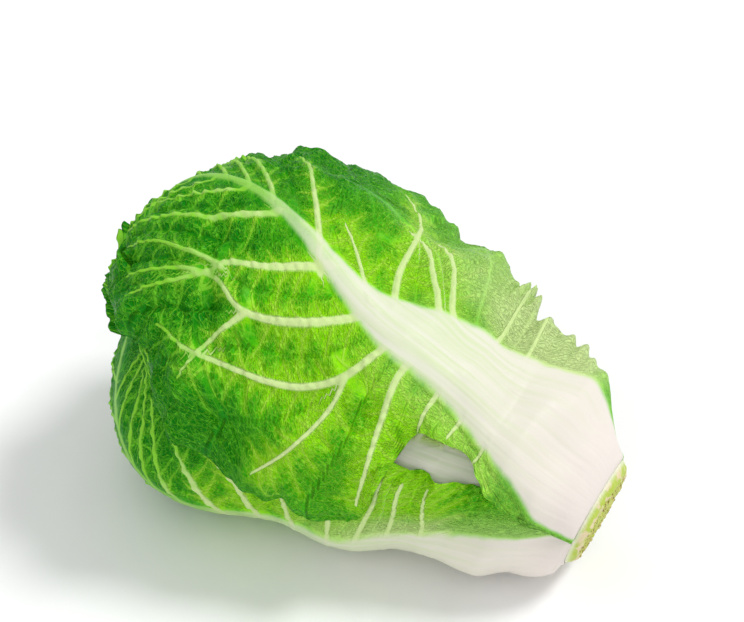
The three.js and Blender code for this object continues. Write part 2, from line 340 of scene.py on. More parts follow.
    def reach_of(self, k: int, run: Grid, side: float) -> Grid:
        """Give how far leaf number k reaches from its midrib, measured round the head."""
        leaf = self.leaves[k]
        outline, share = (leaf.low, leaf.low_share) if side < 0 else (leaf.high, leaf.high_share)
        return np.maximum(outline(run) * share, self.rib_half(run) * leaf.rib_share + 2)

    def reach_turn(self, k: int, run: Grid, side: float) -> Grid:
        """Give the same reach as an angle in degrees."""
        return self.reach_of(k, run, side) / (self.wrap_radius(k, run) * RAD)

    def cover_at(self, k: int, run: Grid, turn: Grid) -> Grid:
        """Tell where leaf number k lies over the leaves inside it, from 0 to 1."""
        ahead = between(self.midrib(self.leaves[k], run), turn)
        low, high = (np.maximum(self.reach_turn(k, run, s) + self.cover_margin, self.full_cover(run)) for s in (-1, 1))
        edge = np.where(ahead < 0, low, high)
        return 1 - smooth((np.abs(ahead) - edge) / self.cover_fade, 0, 1)

    def layer_at(self, k: int, run: Grid, turn: Grid) -> Grid:
        """Give the thickness that leaf number k adds to the stack, with the room under it."""
        leaf = self.leaves[k]
        room = self.gap(run) + leaf.room * smooth(run, 40, 120)
        body = smooth(run, leaf.start - 24, leaf.start) * (self.blade + room) * self.cover_at(k, run, turn)
        return body + self.rib_at(leaf, run, turn, self.rib_clearance)

    def inner_face(self, k: int, run: Grid, turn: Grid) -> Grid:
        """Give how far the inner face of leaf number k lies from the axis."""
        leaf = self.leaves[k]
        depth = self.core(run) + self.seat
        for i in range(k + 1, self.leaf_count):
            depth = depth + self.layer_at(i, run, turn)
        room = self.gap(run) + leaf.room * smooth(run, 40, 120)
        return depth + room * smooth(run, leaf.start, leaf.start + 12) * self.cover_at(k, run, turn)

    def pressed(self, run: Grid, turn: Grid) -> Grid:
        """Give the share of its depth that the head keeps where it is pressed against the floor."""
        along, lean = self.spine(run)
        rise = np.sin(lean) * math.sin(self.tilt) + self.sag * np.cos(lean) * np.sin(turn * RAD) * math.cos(self.tilt)
        under = self.leaves[1]
        whole = self.inner_face(1, run, turn) + self.blade + self.rib_at(under, run, turn) + self.unevenness(run, turn)
        room = -(self.floor_drop + along * math.sin(self.tilt)) / np.where(rise < -1e-6, rise, -1e-6)
        kept = (room - self.press_soft * np.logaddexp(0, (room - whole) / self.press_soft)) / whole
        return np.where((rise >= 0) | (room > 2 * whole), 1, kept)

    def lying(self, run: Grid, turn: Grid, depth: Grid) -> Grid:
        """Place points of the head as it lies on the floor.

        Args:
            run: length along the leaf.
            turn: angle round the head.
            depth: distance from the axis.

        Returns:
            Points in millimetres, with x, y and z on the last axis.
        """
        along, lean = self.spine(run)
        out = (depth + self.unevenness(run, turn)) * self.pressed(run, turn)
        axial = along + out * np.sin(lean)
        radius = out * np.cos(lean)
        up = self.sag * radius * np.sin(turn * RAD)
        x = self.stump_x - axial * math.cos(self.tilt) + up * math.sin(self.tilt)
        y = self.stump_y - self.widen * radius * np.cos(turn * RAD)
        z = self.floor_drop - self.press_flat + axial * math.sin(self.tilt) + up * math.cos(self.tilt)
        return np.stack([x, y, np.maximum(0, z)], axis=-1)

    def leaf_place(self, k: int, across: Grid, start: Grid) -> tuple[Grid, Grid]:
        """Find a point of leaf number k by its own grid.

        Args:
            k: number of the leaf, counted from outside.
            across: from -1 at one margin over 0 on the midrib to 1 at the other margin.
            start: the length on the midrib where the row through the point leaves it.

        Returns:
            Length along the head and angle round it.
        """
        t = np.abs(across)
        side = np.where(across < 0, -1, 1)
        reach = np.where(across < 0, self.reach_of(k, start, -1), self.reach_of(k, start, 1))
        angle = np.where(across < 0, self.reach_turn(k, start, -1), self.reach_turn(k, start, 1))
        run = start + (self.row_lean(start) * t - self.row_fall(start) * t * t) * reach
        return run, self.midrib(self.leaves[k], start) + side * t * angle

    def margin(self, k: int, across: Grid, along: Grid) -> Grid:
        """Give the broad waves of a leaf's margins, as the solids have them."""
        leaf = self.leaves[k]
        near = smooth(np.abs(across), 0.35, 1) * smooth(along, 0.08, 0.3)
        beat = np.sin(2 * math.pi * (leaf.waves * along + 0.25 * np.sign(across)) + k)
        wave = leaf.wave * np.where(across < 0, leaf.calm, 1)
        low = smooth(along, 0.02, 0.12) * (1 - smooth(along, 0.4, 0.6))
        flare = np.maximum(0, across) ** 2 * leaf.flare * low
        return flare + near * wave * (0.5 + 0.5 * beat if k == 0 else beat)

    def flat(self, k: int, run: Grid, turn: Grid) -> tuple[Grid, Grid]:
        """Lay a leaf flat.

        Args:
            k: number of the leaf.
            run: length along the head.
            turn: angle round it.

        Returns:
            Millimetres across from the midrib, and millimetres along.
        """
        leaf = self.leaves[k]
        return between(leaf.turn, turn - leaf.swing * smooth(run, 120, 290)) * RAD * self.wrap_radius(k, run), run


@dataclass(frozen=True)
class Vein:
    """One vein as a bent line over the flat leaf, thick at its root and fading out at its end."""

    points: np.ndarray
    height: float
    half_width: float
    fade: float = 0.85


@dataclass
class VeinField:
    """What the veins do to every point of a leaf."""

    ridge: Grid
    near: Grid
    second: Grid
    place: Grid
    away: Grid
    along: Grid
    beside: Grid
    half_width: Grid

    @staticmethod
    def measure(x: Grid, y: Grid, veins: list[Vein], reach: float = math.inf) -> "VeinField":
        """Measure the veins at every point of a leaf.

        Args:
            x: millimetres across.
            y: millimetres along.
            veins: the lines to measure.
            reach: how far from a line it still counts.

        Returns:
            Height of the veins, the distance to the nearest and to the next one, the length along the
            nearest, the distance to it with its sign, its own axes, which run on past its ends, and half
            its width.
        """
        found = VeinField(*(np.full_like(x, value) for value in (0.0, 200.0, 200.0, 0.0, 200.0, 0.0, 200.0, 0.01)))
        for number, vein in enumerate(veins):
            low, high = vein.points.min(axis=0) - reach, vein.points.max(axis=0) + reach
            here = (x > low[0]) & (x < high[0]) & (y > low[1]) & (y < high[1])
            if here.any():
                found._add(vein, here, x[here], y[here], 57.0 * number)
        return found

    def _add(self, vein: Vein, here: Grid, x: Grid, y: Grid, shift: float) -> None:
        """Add one vein to the field.

        Args:
            vein: the line.
            here: which points of the leaf it can reach.
            x: their millimetres across.
            y: their millimetres along.
            shift: sets its lengths apart from those of other veins.
        """
        best = np.full_like(x, 200.0)
        place, along, beside, hand = (np.zeros_like(x) for _ in range(4))
        steps = np.linalg.norm(np.diff(vein.points, axis=0), axis=1)
        whole = float(steps.sum())
        walked = 0.0
        for (ax, ay), (bx, by), step in zip(vein.points[:-1], vein.points[1:], steps):
            past = ((x - ax) * (bx - ax) + (y - ay) * (by - ay)) / step**2
            t = np.clip(past, 0, 1)
            away = np.hypot(x - ax - t * (bx - ax), y - ay - t * (by - ay))
            off = ((bx - ax) * (y - ay) - (by - ay) * (x - ax)) / step
            closer = away < best
            best = np.where(closer, away, best)
            place = np.where(closer, walked + t * step, place)
            along = np.where(closer, walked + past * step, along)
            beside = np.where(closer, off, beside)
            hand = np.where(closer, np.sign(off), hand)
            walked += step
        left = 1 - vein.fade * place / whole
        width = vein.half_width * (0.3 + 0.7 * left)
        ridge = vein.height * left * np.exp(-(np.minimum(best / width, 6) ** 2))
        width = np.where((along > whole) & (best > width), 0.01, width)
        self.ridge[here] = np.maximum(self.ridge[here], ridge)
        near = self.near[here]
        nearer = best < near
        self.second[here] = np.where(nearer, near, np.minimum(self.second[here], best))
        changes = (
            (self.place, place + shift), (self.along, along + shift), (self.beside, beside),
            (self.away, best * hand), (self.half_width, width), (self.near, best),
        )
        for grid, value in changes:
            grid[here] = np.where(nearer, value, grid[here])


@dataclass(frozen=True)
class Crease:
    """A fold pressed into a blade along a bent line of (across, start) places."""

    places: tuple[tuple[float, float], ...]
    depth: float
    width: float


@dataclass
class VeinPlan:
    """Lays out the side veins of one leaf, and the finer veins that branch from them."""

    shape: HeadShape
    k: int
    random: np.random.Generator
    own: tuple[tuple[tuple[float, float], ...], ...] = ()
    spacing: float = 17
    first: float = 56
    skip: tuple[tuple[float, float, Side], ...] = ()

    def on_flat(self, places: np.ndarray) -> np.ndarray:
        """Turn (across, start) places into points on the flat leaf."""
        run, turn = self.shape.leaf_place(self.k, places[:, 0], places[:, 1])
        x, y = self.shape.flat(self.k, run, turn)
        return np.stack([x, y], axis=-1)

    def side_veins(self) -> list[Vein]:
        """Make the side veins, by given places first and by rule elsewhere.

        Returns:
            The side veins of both halves.
        """
        veins = []
        for line in self.own:
            places = self._rounded(np.array(line))
            veins.append(Vein(self.on_flat(places), 2.6, 2.5 if len(line) > 4 else 1.7, 0.9))
        leaf = self.shape.leaves[self.k]
        for side in Side:
            base = self.first + (0 if side is Side.LOW else 0.5 * self.spacing) + leaf.start
            while base < leaf.end - 22:
                if not any(low < base < high and side is where for low, high, where in self.skip):
                    veins.append(self._ruled(base, side))
                base += self.spacing * self.random.uniform(0.8, 1.25)
        return veins

    def _ruled(self, base: float, side: Side) -> Vein:
        """Make one side vein by rule, from where it leaves the midrib."""
        t = np.linspace(0.0, 0.93, 14)
        rise = 8 + 52 * float(smooth(np.array(base), 95, 165)) - 30 * float(smooth(np.array(base), 215, 290))
        bend = 2.5 * self.random.standard_normal() * np.sin(t * 5 + self.random.uniform(0, 6))
        start = base + rise * t**1.25 + bend * t
        strong = 1 - 0.45 * float(smooth(np.array(base), 180, 290))
        return Vein(self.on_flat(np.stack([side.value * t, start], axis=-1)), 2.1 * strong, 2.1 * strong, 0.85)

    @staticmethod
    def _rounded(places: np.ndarray) -> np.ndarray:
        """Put more points on a given line, so that it bends softly."""
        step = np.arange(len(places), dtype=float)
        fine = np.linspace(0, len(places) - 1, 4 * len(places))
        return np.stack([Profile(tuple(zip(step, places[:, i])))(fine) for i in (0, 1)], axis=-1)

    def branches(self, parents: list[Vein]) -> list[Vein]:
        """Make the finer veins that leave the side veins, slanting towards the tip of the leaf.

        Args:
            parents: the side veins.

        Returns:
            The finer veins.
        """
        veins = []
        for parent in parents:
            steps = np.linalg.norm(np.diff(parent.points, axis=0), axis=1)
            lengths = np.concatenate([[0], np.cumsum(steps)])
            at = self.random.uniform(9, 14)
            hand = 1 if parent.points[-1][0] < parent.points[0][0] else -1
            side = hand
            while at < lengths[-1] - 4:
                x, y = (np.interp(at, lengths, parent.points[:, i]) for i in (0, 1))
                i = min(int(np.searchsorted(lengths, at)), len(steps)) - 1
                ahead = (parent.points[i + 1] - parent.points[i]) / steps[i]
                veins.append(self._branch(x, y, ahead, hand, 1.0 if hand == side else 0.6))
                hand = -hand
                at += self.random.uniform(4.5, 7.5)
        return veins

    def _branch(self, x: float, y: float, ahead: np.ndarray, hand: int, reach: float) -> Vein:
        """Make one finer vein from a point of a side vein, to its left or right."""
        angle = hand * self.random.uniform(44, 58) * RAD
        turned = np.array(
            [ahead[0] * math.cos(angle) - ahead[1] * math.sin(angle), ahead[0] * math.sin(angle) + ahead[1] * math.cos(angle)]
        )
        length = reach * self.random.uniform(14, 24)
        t = np.linspace(0, 1, 5)[:, None]
        bend = hand * self.random.uniform(-0.35, 0.05) * length * np.array([-turned[1], turned[0]])
        points = np.array([x, y]) + length * t * turned + np.sin(t * math.pi) * bend * 0.5
        return Vein(points, 1.25, 1.1, 0.75)


def add_node(
    tree: bpy.types.NodeTree,
    kind: str,
    settings: dict[str, object] | None = None,
    links: dict[str | int, object] | None = None,
    stops: tuple[tuple[float, str], ...] = (),
) -> bpy.types.Node:
    """Add a node with its settings, and link or set its inputs.

    Args:
        tree: the node tree.
        kind: the node's type name.
        settings: properties of the node by name.
        links: for each input, by name or number, an output socket to link or a value to set.
        stops: places and hex colours, on a node that holds a ramp of colours.

    Returns:
        The new node.
    """
    node = tree.nodes.new(kind)
    for name, value in (settings or {}).items():
        setattr(node, name, value)
    for name, value in (links or {}).items():
        socket = node.inputs[name]
        if isinstance(value, bpy.types.NodeSocket):
            tree.links.new(value, socket)
        else:
            socket.default_value = value
    for number, (place, colour) in enumerate(stops):
        if number >= len(node.color_ramp.elements):
            node.color_ramp.elements.new(place)
        node.color_ramp.elements[number].position = place
        node.color_ramp.elements[number].color = linear(colour)
    return node


def blank_material(name: str) -> tuple[bpy.types.Material, Callable]:
    """Start a material with an empty node tree.

    Args:
        name: its name.

    Returns:
        The material, and the function that adds a node to it.
    """
    material = bpy.data.materials.new(name)
    material.use_nodes = True
    material.node_tree.nodes.clear()
    return material, partial(add_node, material.node_tree)


def signed_volume(points: np.ndarray, quads: np.ndarray) -> float:
    """Add up the signed volume under a set of four-cornered faces."""
    a, b, c, d = (points[quads[:, i]] for i in range(4))
    return float((np.cross(b - a, c - a) * a).sum() + (np.cross(c - a, d - a) * a).sum())


def ring_quads(rows: int, sides: int) -> np.ndarray:
    """List the four corners of every face between rings of points that close round."""
    index = np.arange(rows * sides).reshape(rows, sides)
    after = np.roll(index, -1, axis=1)
    return np.stack([index[:-1], after[:-1], after[1:], index[1:]], axis=-1).reshape(-1, 4)


def ringed_mesh(name: str, points: np.ndarray, values: dict[str, Grid]) -> bpy.types.Mesh:
    """Close a stack of rings, with a point in the middle of each end.

    Args:
        name: name of the mesh.
        points: rings of points in millimetres.
        values: values for the material, by name, at every point of the rings.

    Returns:
        The mesh, smooth, with its faces outwards.
    """
    rows, sides = points.shape[:2]
    quads = ring_quads(rows, sides)
    corners = points.reshape(-1, 3)
    faces = quads.tolist()
    foot = len(corners)
    first = range(sides)
    last = range(foot - sides, foot)
    faces += [[b, a, foot] for a, b in zip(first, [*first[1:], first[0]])]
    faces += [[a, b, foot + 1] for a, b in zip(last, [*last[1:], last[0]])]
    if signed_volume(corners, quads) < 0:
        faces = [face[::-1] for face in faces]
    middles = [points[0].mean(axis=0), points[-1].mean(axis=0)]
    mesh = bpy.data.meshes.new(name)
    mesh.from_pydata((np.concatenate([corners, middles]) * MM).tolist(), [], faces)
    mesh.polygons.foreach_set("use_smooth", np.ones(len(faces), bool))
    write_values(mesh, {key: np.append(grid.ravel(), grid.ravel()[[0, -1]]) for key, grid in values.items()})
    return mesh


def write_values(mesh: bpy.types.Mesh, values: dict[str, Grid]) -> None:
    """Keep values for the material on the points of a mesh."""
    for key, data in values.items():
        mesh.attributes.new(key, "FLOAT", "POINT").data.foreach_set("value", data.astype(np.float32))


def write_maps(mesh: bpy.types.Mesh, maps: dict[str, np.ndarray]) -> None:
    """Keep places on the flat leaf, one for each point of a mesh, as UV maps."""
    corner = np.empty(len(mesh.loops), np.int32)
    mesh.loops.foreach_get("vertex_index", corner)
    for key, places in maps.items():
        mesh.uv_layers.new(name=key).data.foreach_set("uv", places[corner].astype(np.float32).ravel())


def declared(name: str, mesh: bpy.types.Mesh, node: str | None = None) -> bpy.types.Object:
    """Put a finished mesh into the scene under the root body, and hide the solid that it replaces.

    Args:
        name: name of the piece.
        mesh: its mesh.
        node: the solid that it replaces, if it does.

    Returns:
        The piece.
    """
    piece = bpy.data.objects.new(name, mesh)
    bpy.context.scene.collection.objects.link(piece)
    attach(piece, "root")
    if node:
        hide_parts(node)
    return piece


@dataclass(frozen=True)
class LeafTissue:
    """Living leaf: a waxy green blade that lets light through, and a crisp watery rib."""

    name: str
    fresh: str
    green: str
    deep: str
    lace: str
    lace_far: str
    vein: str
    vein_far: str
    rib: str
    rib_streak: str
    rib_foot: str
    depth: float
    through: float = 0.3
    net_mm: float = 6.0
    wrinkle_mm: float = 2.4

    def build(self) -> bpy.types.Material:
        """Build the material.

        Returns:
            The material, which reads the leaf's own attributes and its UV maps in millimetres.
        """
        material, add = blank_material(self.name)
        flat = add("ShaderNodeUVMap", {"uv_map": "flat"}).outputs["UV"]
        beside = add("ShaderNodeUVMap", {"uv_map": "beside"}).outputs["UV"]
        rib, vein, shade, side_away, side_half, fine_away, fine_half, open_blade = (
            add("ShaderNodeAttribute", {"attribute_name": name}).outputs["Fac"]
            for name in ("rib", "vein", "shade", "side_away", "side_half", "fine_away", "fine_half", "open_blade")
        )
        side_line = self._line(add, side_away, side_half)
        fine_line = self._line(add, fine_away, fine_half)
        rung_place = add("ShaderNodeMapping", None, {0: beside, "Scale": (1 / 7.0, 1 / 13.0, 1.0)}).outputs[0]
        rung = add(
            "ShaderNodeTexVoronoi", {"feature": "DISTANCE_TO_EDGE"}, {"Vector": rung_place, "Randomness": 0.85}
        ).outputs["Distance"]
        rung_line = add(
            REMAP, None, {"Value": rung, "From Min": 0.015, "From Max": 0.085, "To Min": 1.0, "To Max": 0.0}
        ).outputs[0]
        rung_line = add(MATHS, {"operation": "MULTIPLY"}, {0: rung_line, 1: open_blade}).outputs[0]
        net = add(
            "ShaderNodeTexVoronoi", {"feature": "DISTANCE_TO_EDGE"}, {"Vector": flat, "Scale": 1 / self.net_mm}
        ).outputs["Distance"]
        net_line = add(
            REMAP, None, {"Value": net, "From Min": 0.0, "From Max": 0.09, "To Min": 1.0, "To Max": 0.0}
        ).outputs[0]
        patch = add(
            CLOUDS, None, {"Vector": flat, "Scale": 1 / 18, "Detail": 4.0, "Roughness": 0.6}
        ).outputs["Fac"]
        uneven = add(
            REMAP, None, {"Value": patch, "From Min": 0.3, "From Max": 0.7, "To Min": -0.16, "To Max": 0.16}
        ).outputs[0]
        # Painted shade: the middle of each small cell, which the bump sinks into a bowl, is painted a deeper green, and
        # its border a lighter one.
        painted_cell_shade = add(
            REMAP, None, {"Value": rung, "From Min": 0.0, "From Max": 0.4, "To Min": -0.16, "To Max": 0.2}
        ).outputs[0]
        tone = add(MATHS, {"operation": "ADD"}, {0: shade, 1: uneven}).outputs[0]
        tone = add(MATHS, {"operation": "ADD", "use_clamp": True}, {0: tone, 1: painted_cell_shade}).outputs[0]
        blade = add(
            "ShaderNodeValToRGB", None, {0: tone}, ((0.0, self.fresh), (0.45, self.green), (1.0, self.deep))
        ).outputs[0]
        vein_colour = add(
            "ShaderNodeValToRGB", None, {0: shade}, ((0.1, self.vein), (0.75, self.vein_far))
        ).outputs[0]
        laced = add(MATHS, {"operation": "MULTIPLY"}, {0: fine_line, 1: 1.0}).outputs[0]
        for line, strength in ((rung_line, 0.8), (net_line, 0.45)):
            faint = add(MATHS, {"operation": "MULTIPLY"}, {0: line, 1: strength}).outputs[0]
            laced = add(MATHS, {"operation": "MAXIMUM"}, {0: laced, 1: faint}).outputs[0]
        lace_colour = add(
            "ShaderNodeValToRGB", None, {0: shade}, ((0.1, self.lace), (0.8, self.lace_far))
        ).outputs[0]
        blade = add(MIX, RGBA, {0: laced, 6: blade, 7: lace_colour}).outputs[2]
        pale = add(MATHS, {"operation": "MAXIMUM"}, {0: side_line, 1: vein}).outputs[0]
        veined = add(MIX, RGBA, {0: pale, 6: blade, 7: vein_colour}).outputs[2]
        drawn = add("ShaderNodeMapping", None, {0: flat, "Scale": (0.3, 0.008, 1.0)}).outputs[0]
        strands = add(CLOUDS, None, {"Vector": drawn, "Scale": 1.0, "Detail": 3.0}).outputs["Fac"]
        streaks = add(REMAP, None, {"Value": strands, "From Min": 0.42, "From Max": 0.68}).outputs[0]
        run = add("ShaderNodeSeparateXYZ", None, {0: flat}).outputs["Y"]
        foot = add(
            REMAP, None, {"Value": run, "From Min": 10.0, "From Max": 110.0, "To Min": 1.0, "To Max": 0.0}
        ).outputs[0]
        crisp = add(
            MIX, RGBA, {0: streaks, 6: linear(self.rib), 7: linear(self.rib_streak)}
        ).outputs[2]
        crisp = add(MIX, RGBA, {0: foot, 6: crisp, 7: linear(self.rib_foot)}).outputs[2]
        colour = add(MIX, RGBA, {0: rib, 6: veined, 7: crisp}).outputs[2]
        folded = add("ShaderNodeMapping", None, {0: beside, "Scale": (1 / 2.4, 1 / 8.0, 1.0)}).outputs[0]
        wrinkles = add(
            CLOUDS, None, {"Vector": folded, "Scale": 1.0, "Detail": 3.0, "Roughness": 0.6}
        ).outputs["Fac"]
        grain = add(
            CLOUDS, None, {"Vector": flat, "Scale": 1 / self.wrinkle_mm, "Detail": 2.0}
        ).outputs["Fac"]
        bowl = add(MATHS, {"operation": "MINIMUM"}, {0: rung, 1: 0.35}).outputs[0]
        folds = add(MATHS, {"operation": "MULTIPLY_ADD"}, {0: bowl, 1: -1.4, 2: wrinkles}).outputs[0]
        folds = add(MATHS, {"operation": "MULTIPLY"}, {0: folds, 1: open_blade}).outputs[0]
        height = add(MATHS, {"operation": "MULTIPLY_ADD"}, {0: folds, 1: 4.6, 2: grain}).outputs[0]
        for line, tall in ((fine_line, 0.9), (rung_line, 0.6), (net_line, 0.25)):
            height = add(MATHS, {"operation": "MULTIPLY_ADD"}, {0: line, 1: tall, 2: height}).outputs[0]
        hard = add(MATHS, {"operation": "MAXIMUM"}, {0: rib, 1: side_line}).outputs[0]
        soft = add(MATHS, {"operation": "SUBTRACT", "use_clamp": True}, {0: 1.0, 1: hard}).outputs[0]
        height = add(MATHS, {"operation": "MULTIPLY"}, {0: height, 1: soft}).outputs[0]
        height = add(MATHS, {"operation": "MULTIPLY_ADD"}, {0: streaks, 1: 0.25, 2: height}).outputs[0]
        bump = add(
            "ShaderNodeBump", None, {"Height": height, "Strength": 0.8, "Distance": self.depth * MM}
        ).outputs[0]
        dull = add(
            REMAP, None, {"Value": patch, "From Min": 0.3, "From Max": 0.7, "To Min": 0.3, "To Max": 0.5}
        ).outputs[0]
        solid = add(
            "ShaderNodeBsdfPrincipled",
            None,
            {"Base Color": colour, "Roughness": dull, "Normal": bump, "IOR": 1.42, "Specular IOR Level": 0.16},
        ).outputs[0]
        glow = add("ShaderNodeBsdfTranslucent", None, {"Color": colour, "Normal": bump}).outputs[0]
        share = add(REMAP, None, {"Value": rib, "To Min": self.through, "To Max": 0.1}).outputs[0]
        both = add("ShaderNodeMixShader", None, {0: share, 1: solid, 2: glow}).outputs[0]
        add("ShaderNodeOutputMaterial", None, {0: both})
        return material

    @staticmethod
    def _line(add: Callable, away: object, half: object) -> bpy.types.NodeSocket:
        """Draw a crisp line where the distance from it is under half its width.

        Args:
            add: adds a node to the material.
            away: distance from the middle of the line, with its sign.
            half: half of its width there.

        Returns:
            1 on the line and 0 beside it.
        """
        plain = add(MATHS, {"operation": "ABSOLUTE"}, {0: away}).outputs[0]
        share = add(MATHS, {"operation": "DIVIDE"}, {0: plain, 1: half}).outputs[0]
        return add(
            REMAP,
            {"interpolation_type": "SMOOTHSTEP"},
            {"Value": share, "From Min": 0.55, "From Max": 1.15, "To Min": 1.0, "To Max": 0.0},
        ).outputs[0]


OUTER_TISSUE = LeafTissue(
    name="outer_leaf_tissue_waxy",
    fresh="#98ee00",
    green="#48bc00",
    deep="#0a8800",
    lace="#aeee40",
    lace_far="#6ccc26",
    vein="#d6eea0",
    vein_far="#8edb38",
    rib="#e9ebd6",
    rib_streak="#d5e6b2",
    rib_foot="#efe6df",
    depth=0.5,
    through=0.12,
)

INNER_TISSUE = LeafTissue(
    name="inner_leaf_tissue_tender",
    fresh="#c3ea58",
    green="#97d82c",
    deep="#86d02e",
    lace="#d4f088",
    lace_far="#b4e060",
    vein="#e8f5c0",
    vein_far="#c4e87c",
    rib="#fafae8",
    rib_streak="#dcebbd",
    rib_foot="#f3efe4",
    depth=0.5,
    through=0.2,
)


@dataclass(frozen=True)
class CutTissue:
    """Stump flesh cut across: moist, yellow-green, with brown ends of strands and a tan dried rim."""

    name: str = "stump_flesh_cut"
    flesh: str = "#c6cf62"
    moist: str = "#a9bd35"
    dried: str = "#e0cfa6"
    scar: str = "#b4c94a"
    skin: str = "#eef0dc"

    def build(self) -> bpy.types.Material:
        """Build the material on Object coordinates, in metres."""
        material, add = blank_material(self.name)
        place = add("ShaderNodeTexCoord").outputs["Object"]
        cut, rim = (
            add("ShaderNodeAttribute", {"attribute_name": name}).outputs["Fac"] for name in ("cut", "rim")
        )
        blotch = add(CLOUDS, None, {"Vector": place, "Scale": 260.0, "Detail": 4.0}).outputs["Fac"]
        flesh = add(
            MIX, RGBA, {0: blotch, 6: linear(self.flesh), 7: linear(self.moist)}
        ).outputs[2]
        bands = add(CLOUDS, None, {"Vector": place, "Scale": 130.0, "Detail": 2.0}).outputs["Fac"]
        bands = add(
            REMAP, None, {"Value": bands, "From Min": 0.46, "From Max": 0.54}
        ).outputs["Result"]
        edge = add(
            MIX, RGBA, {0: bands, 6: linear(self.dried), 7: linear(self.scar)}
        ).outputs[2]
        worn = add(MIX, RGBA, {0: rim, 6: flesh, 7: edge}).outputs[2]
        colour = add(
            MIX, RGBA, {0: cut, 6: linear(self.skin), 7: worn}
        ).outputs[2]
        pits = add(
            "ShaderNodeTexVoronoi", None, {"Vector": place, "Scale": 700.0}
        ).outputs["Distance"]
        bump = add(
            "ShaderNodeBump", None, {"Height": pits, "Strength": 0.5, "Distance": 0.0006}
        ).outputs["Normal"]
        rough = add(
            REMAP, None, {"Value": blotch, "To Min": 0.35, "To Max": 0.6}
        ).outputs["Result"]
        surface = add(
            "ShaderNodeBsdfPrincipled", None, {"Base Color": colour, "Roughness": rough, "Normal": bump, "IOR": 1.38}
        ).outputs["BSDF"]
        add("ShaderNodeOutputMaterial", None, {"Surface": surface})
        return material


@dataclass(frozen=True)
class StudioPaper:
    """White paper sweep: matt, with the faint mottle of its fibres."""

    name: str = "floor_paper_white"
    colour: str = "#fbfbfb"
    shade: str = "#f6f6f7"

    def build(self) -> bpy.types.Material:
        """Build the material."""
        material, add = blank_material(self.name)
        place = add("ShaderNodeTexCoord").outputs["Object"]
        fibres = add(CLOUDS, None, {"Vector": place, "Scale": 30.0, "Detail": 3.0}).outputs["Fac"]
        colour = add(
            MIX, RGBA, {0: fibres, 6: linear(self.colour), 7: linear(self.shade)}
        ).outputs[2]
        surface = add(
            "ShaderNodeBsdfPrincipled", None, {"Base Color": colour, "Roughness": 0.9, "Specular IOR Level": 0.1}
        ).outputs["BSDF"]
        add("ShaderNodeOutputMaterial", None, {"Surface": surface})
        return material


@dataclass
class Skin:
    """Closed surface made of a fine outer face and a coarser inner face that meet at the rim."""

    outer: np.ndarray
    inner: np.ndarray
    values: dict[str, Grid]
    inner_values: dict[str, Grid]
    maps: dict[str, np.ndarray]
    inner_maps: dict[str, np.ndarray]

    def build(self, name: str, material: bpy.types.Material) -> bpy.types.Mesh:
        """Join the faces into one mesh.

        Args:
            name: name of the mesh.
            material: its finish.

        Returns:
            The mesh, smooth, with its faces outwards.
        """
        rows, cols = self.outer.shape[:2]
        low_rows, low_cols = self.inner.shape[:2]
        fine = np.arange(rows * cols).reshape(rows, cols)
        coarse = rows * cols + np.arange(low_rows * low_cols).reshape(low_rows, low_cols)
        quads = np.concatenate([self._quads(fine), self._quads(coarse)[:, ::-1]])
        ring, low_ring = self._border(fine), self._border(coarse)
        step = len(ring) // len(low_ring)
        rim = [ring[np.arange(i, i + len(ring), step) % len(ring)] for i in range(step, -1, -1)]
        faces = quads.tolist() + np.stack([*rim, low_ring, np.roll(low_ring, -1)], axis=-1).tolist()
        points = np.concatenate([self.outer.reshape(-1, 3), self.inner.reshape(-1, 3)]) * MM
        if signed_volume(points, quads) < 0:
            faces = [face[::-1] for face in faces]
        mesh = bpy.data.meshes.new(name)
        mesh.from_pydata(points.tolist(), [], faces)
        mesh.polygons.foreach_set("use_smooth", np.ones(len(faces), bool))
        write_values(
            mesh, {key: np.append(grid.ravel(), self.inner_values[key].ravel()) for key, grid in self.values.items()}
        )
        maps = {
            key: np.concatenate([grid.reshape(-1, 2), self.inner_maps[key].reshape(-1, 2)])
            for key, grid in self.maps.items()
        }
        write_maps(mesh, maps)
        mesh.materials.append(material)
        return mesh

    @staticmethod
    def _border(index: np.ndarray) -> np.ndarray:
        """List the point numbers round the border of a grid."""
        return np.concatenate([index[0, :-1], index[:-1, -1], index[-1, :0:-1], index[:0:-1, 0]])

    @staticmethod
    def _quads(index: np.ndarray) -> np.ndarray:
        """List the four corners of every cell of a grid of point numbers."""
        corners = [index[:-1, :-1], index[:-1, 1:], index[1:, 1:], index[1:, :-1]]
        return np.stack(corners, axis=-1).reshape(-1, 4)


